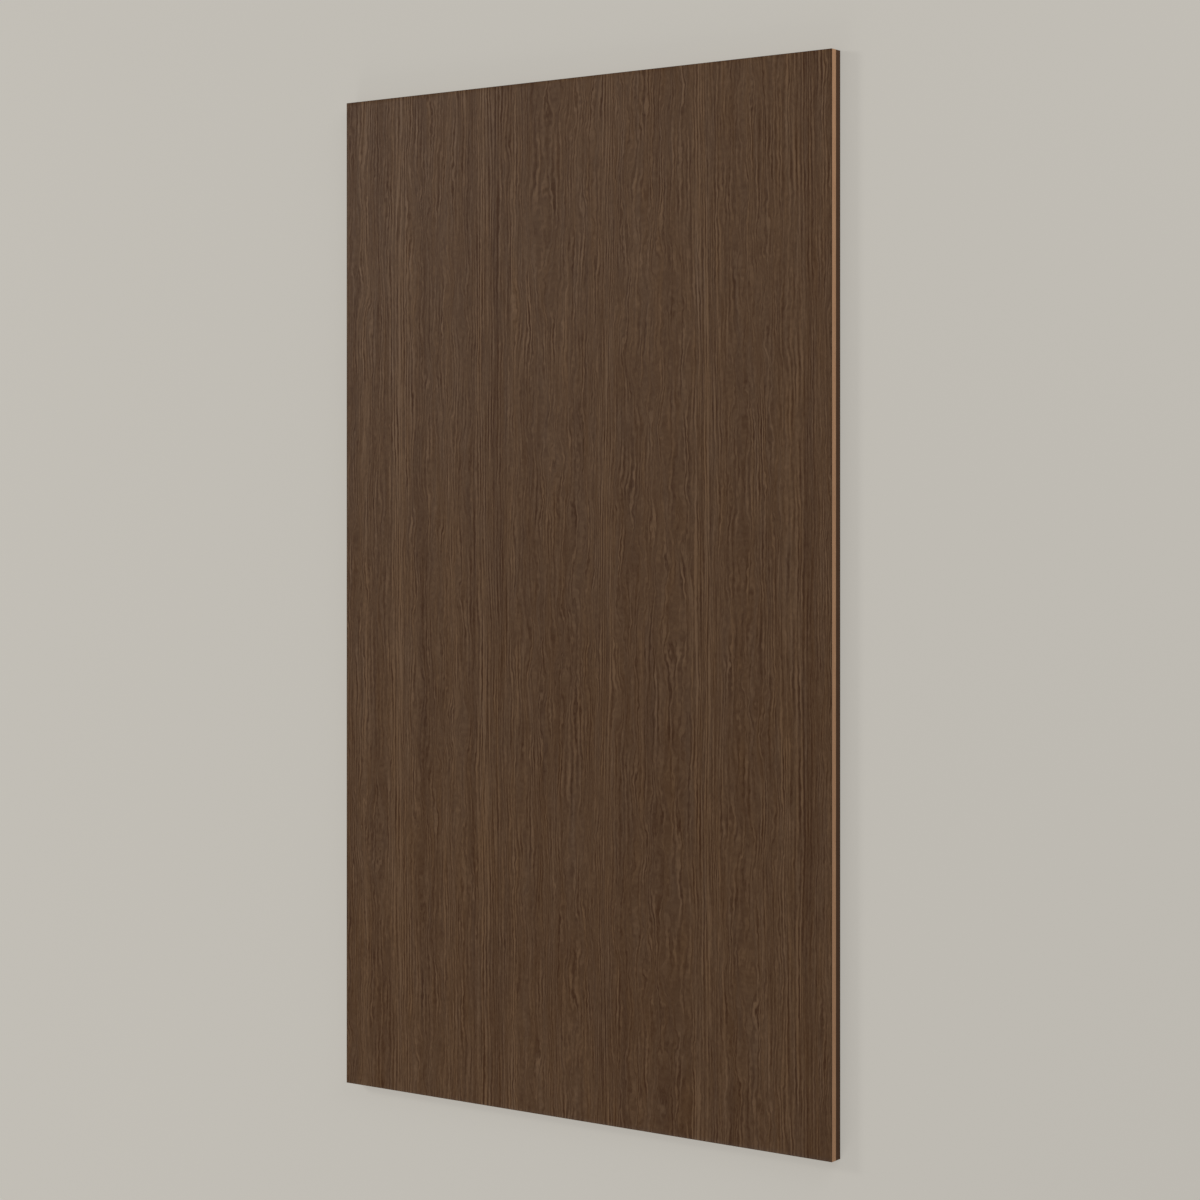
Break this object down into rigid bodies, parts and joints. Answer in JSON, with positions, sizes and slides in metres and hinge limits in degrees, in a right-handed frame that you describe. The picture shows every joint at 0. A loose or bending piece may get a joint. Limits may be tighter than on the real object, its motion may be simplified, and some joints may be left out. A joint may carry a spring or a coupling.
{
  "type": "wall panel",
  "caption": "Flat full-height wall panel: a dark wood-grain decor sheet on a tan fibreboard core glued to a dark backing board, sawn flush on every edge.",
  "frame": {"origin": "centre of the back face, which lies on the floor", "axes": "+X across the panel, +Y along it with the grain (up when it is on a wall), +Z out of the decor face"},
  "size_m": [1.22, 2.135, 0.033],
  "materials": {
    "backing_fibreboard": "matte",
    "core_fibreboard": "matte",
    "decor_laminate": "matte"
  },
  "bodies": {
    "root": {"backing_board": "backing_fibreboard", "core_board": "core_fibreboard", "face_laminate": "decor_laminate"}
  },
  "joints": []
}
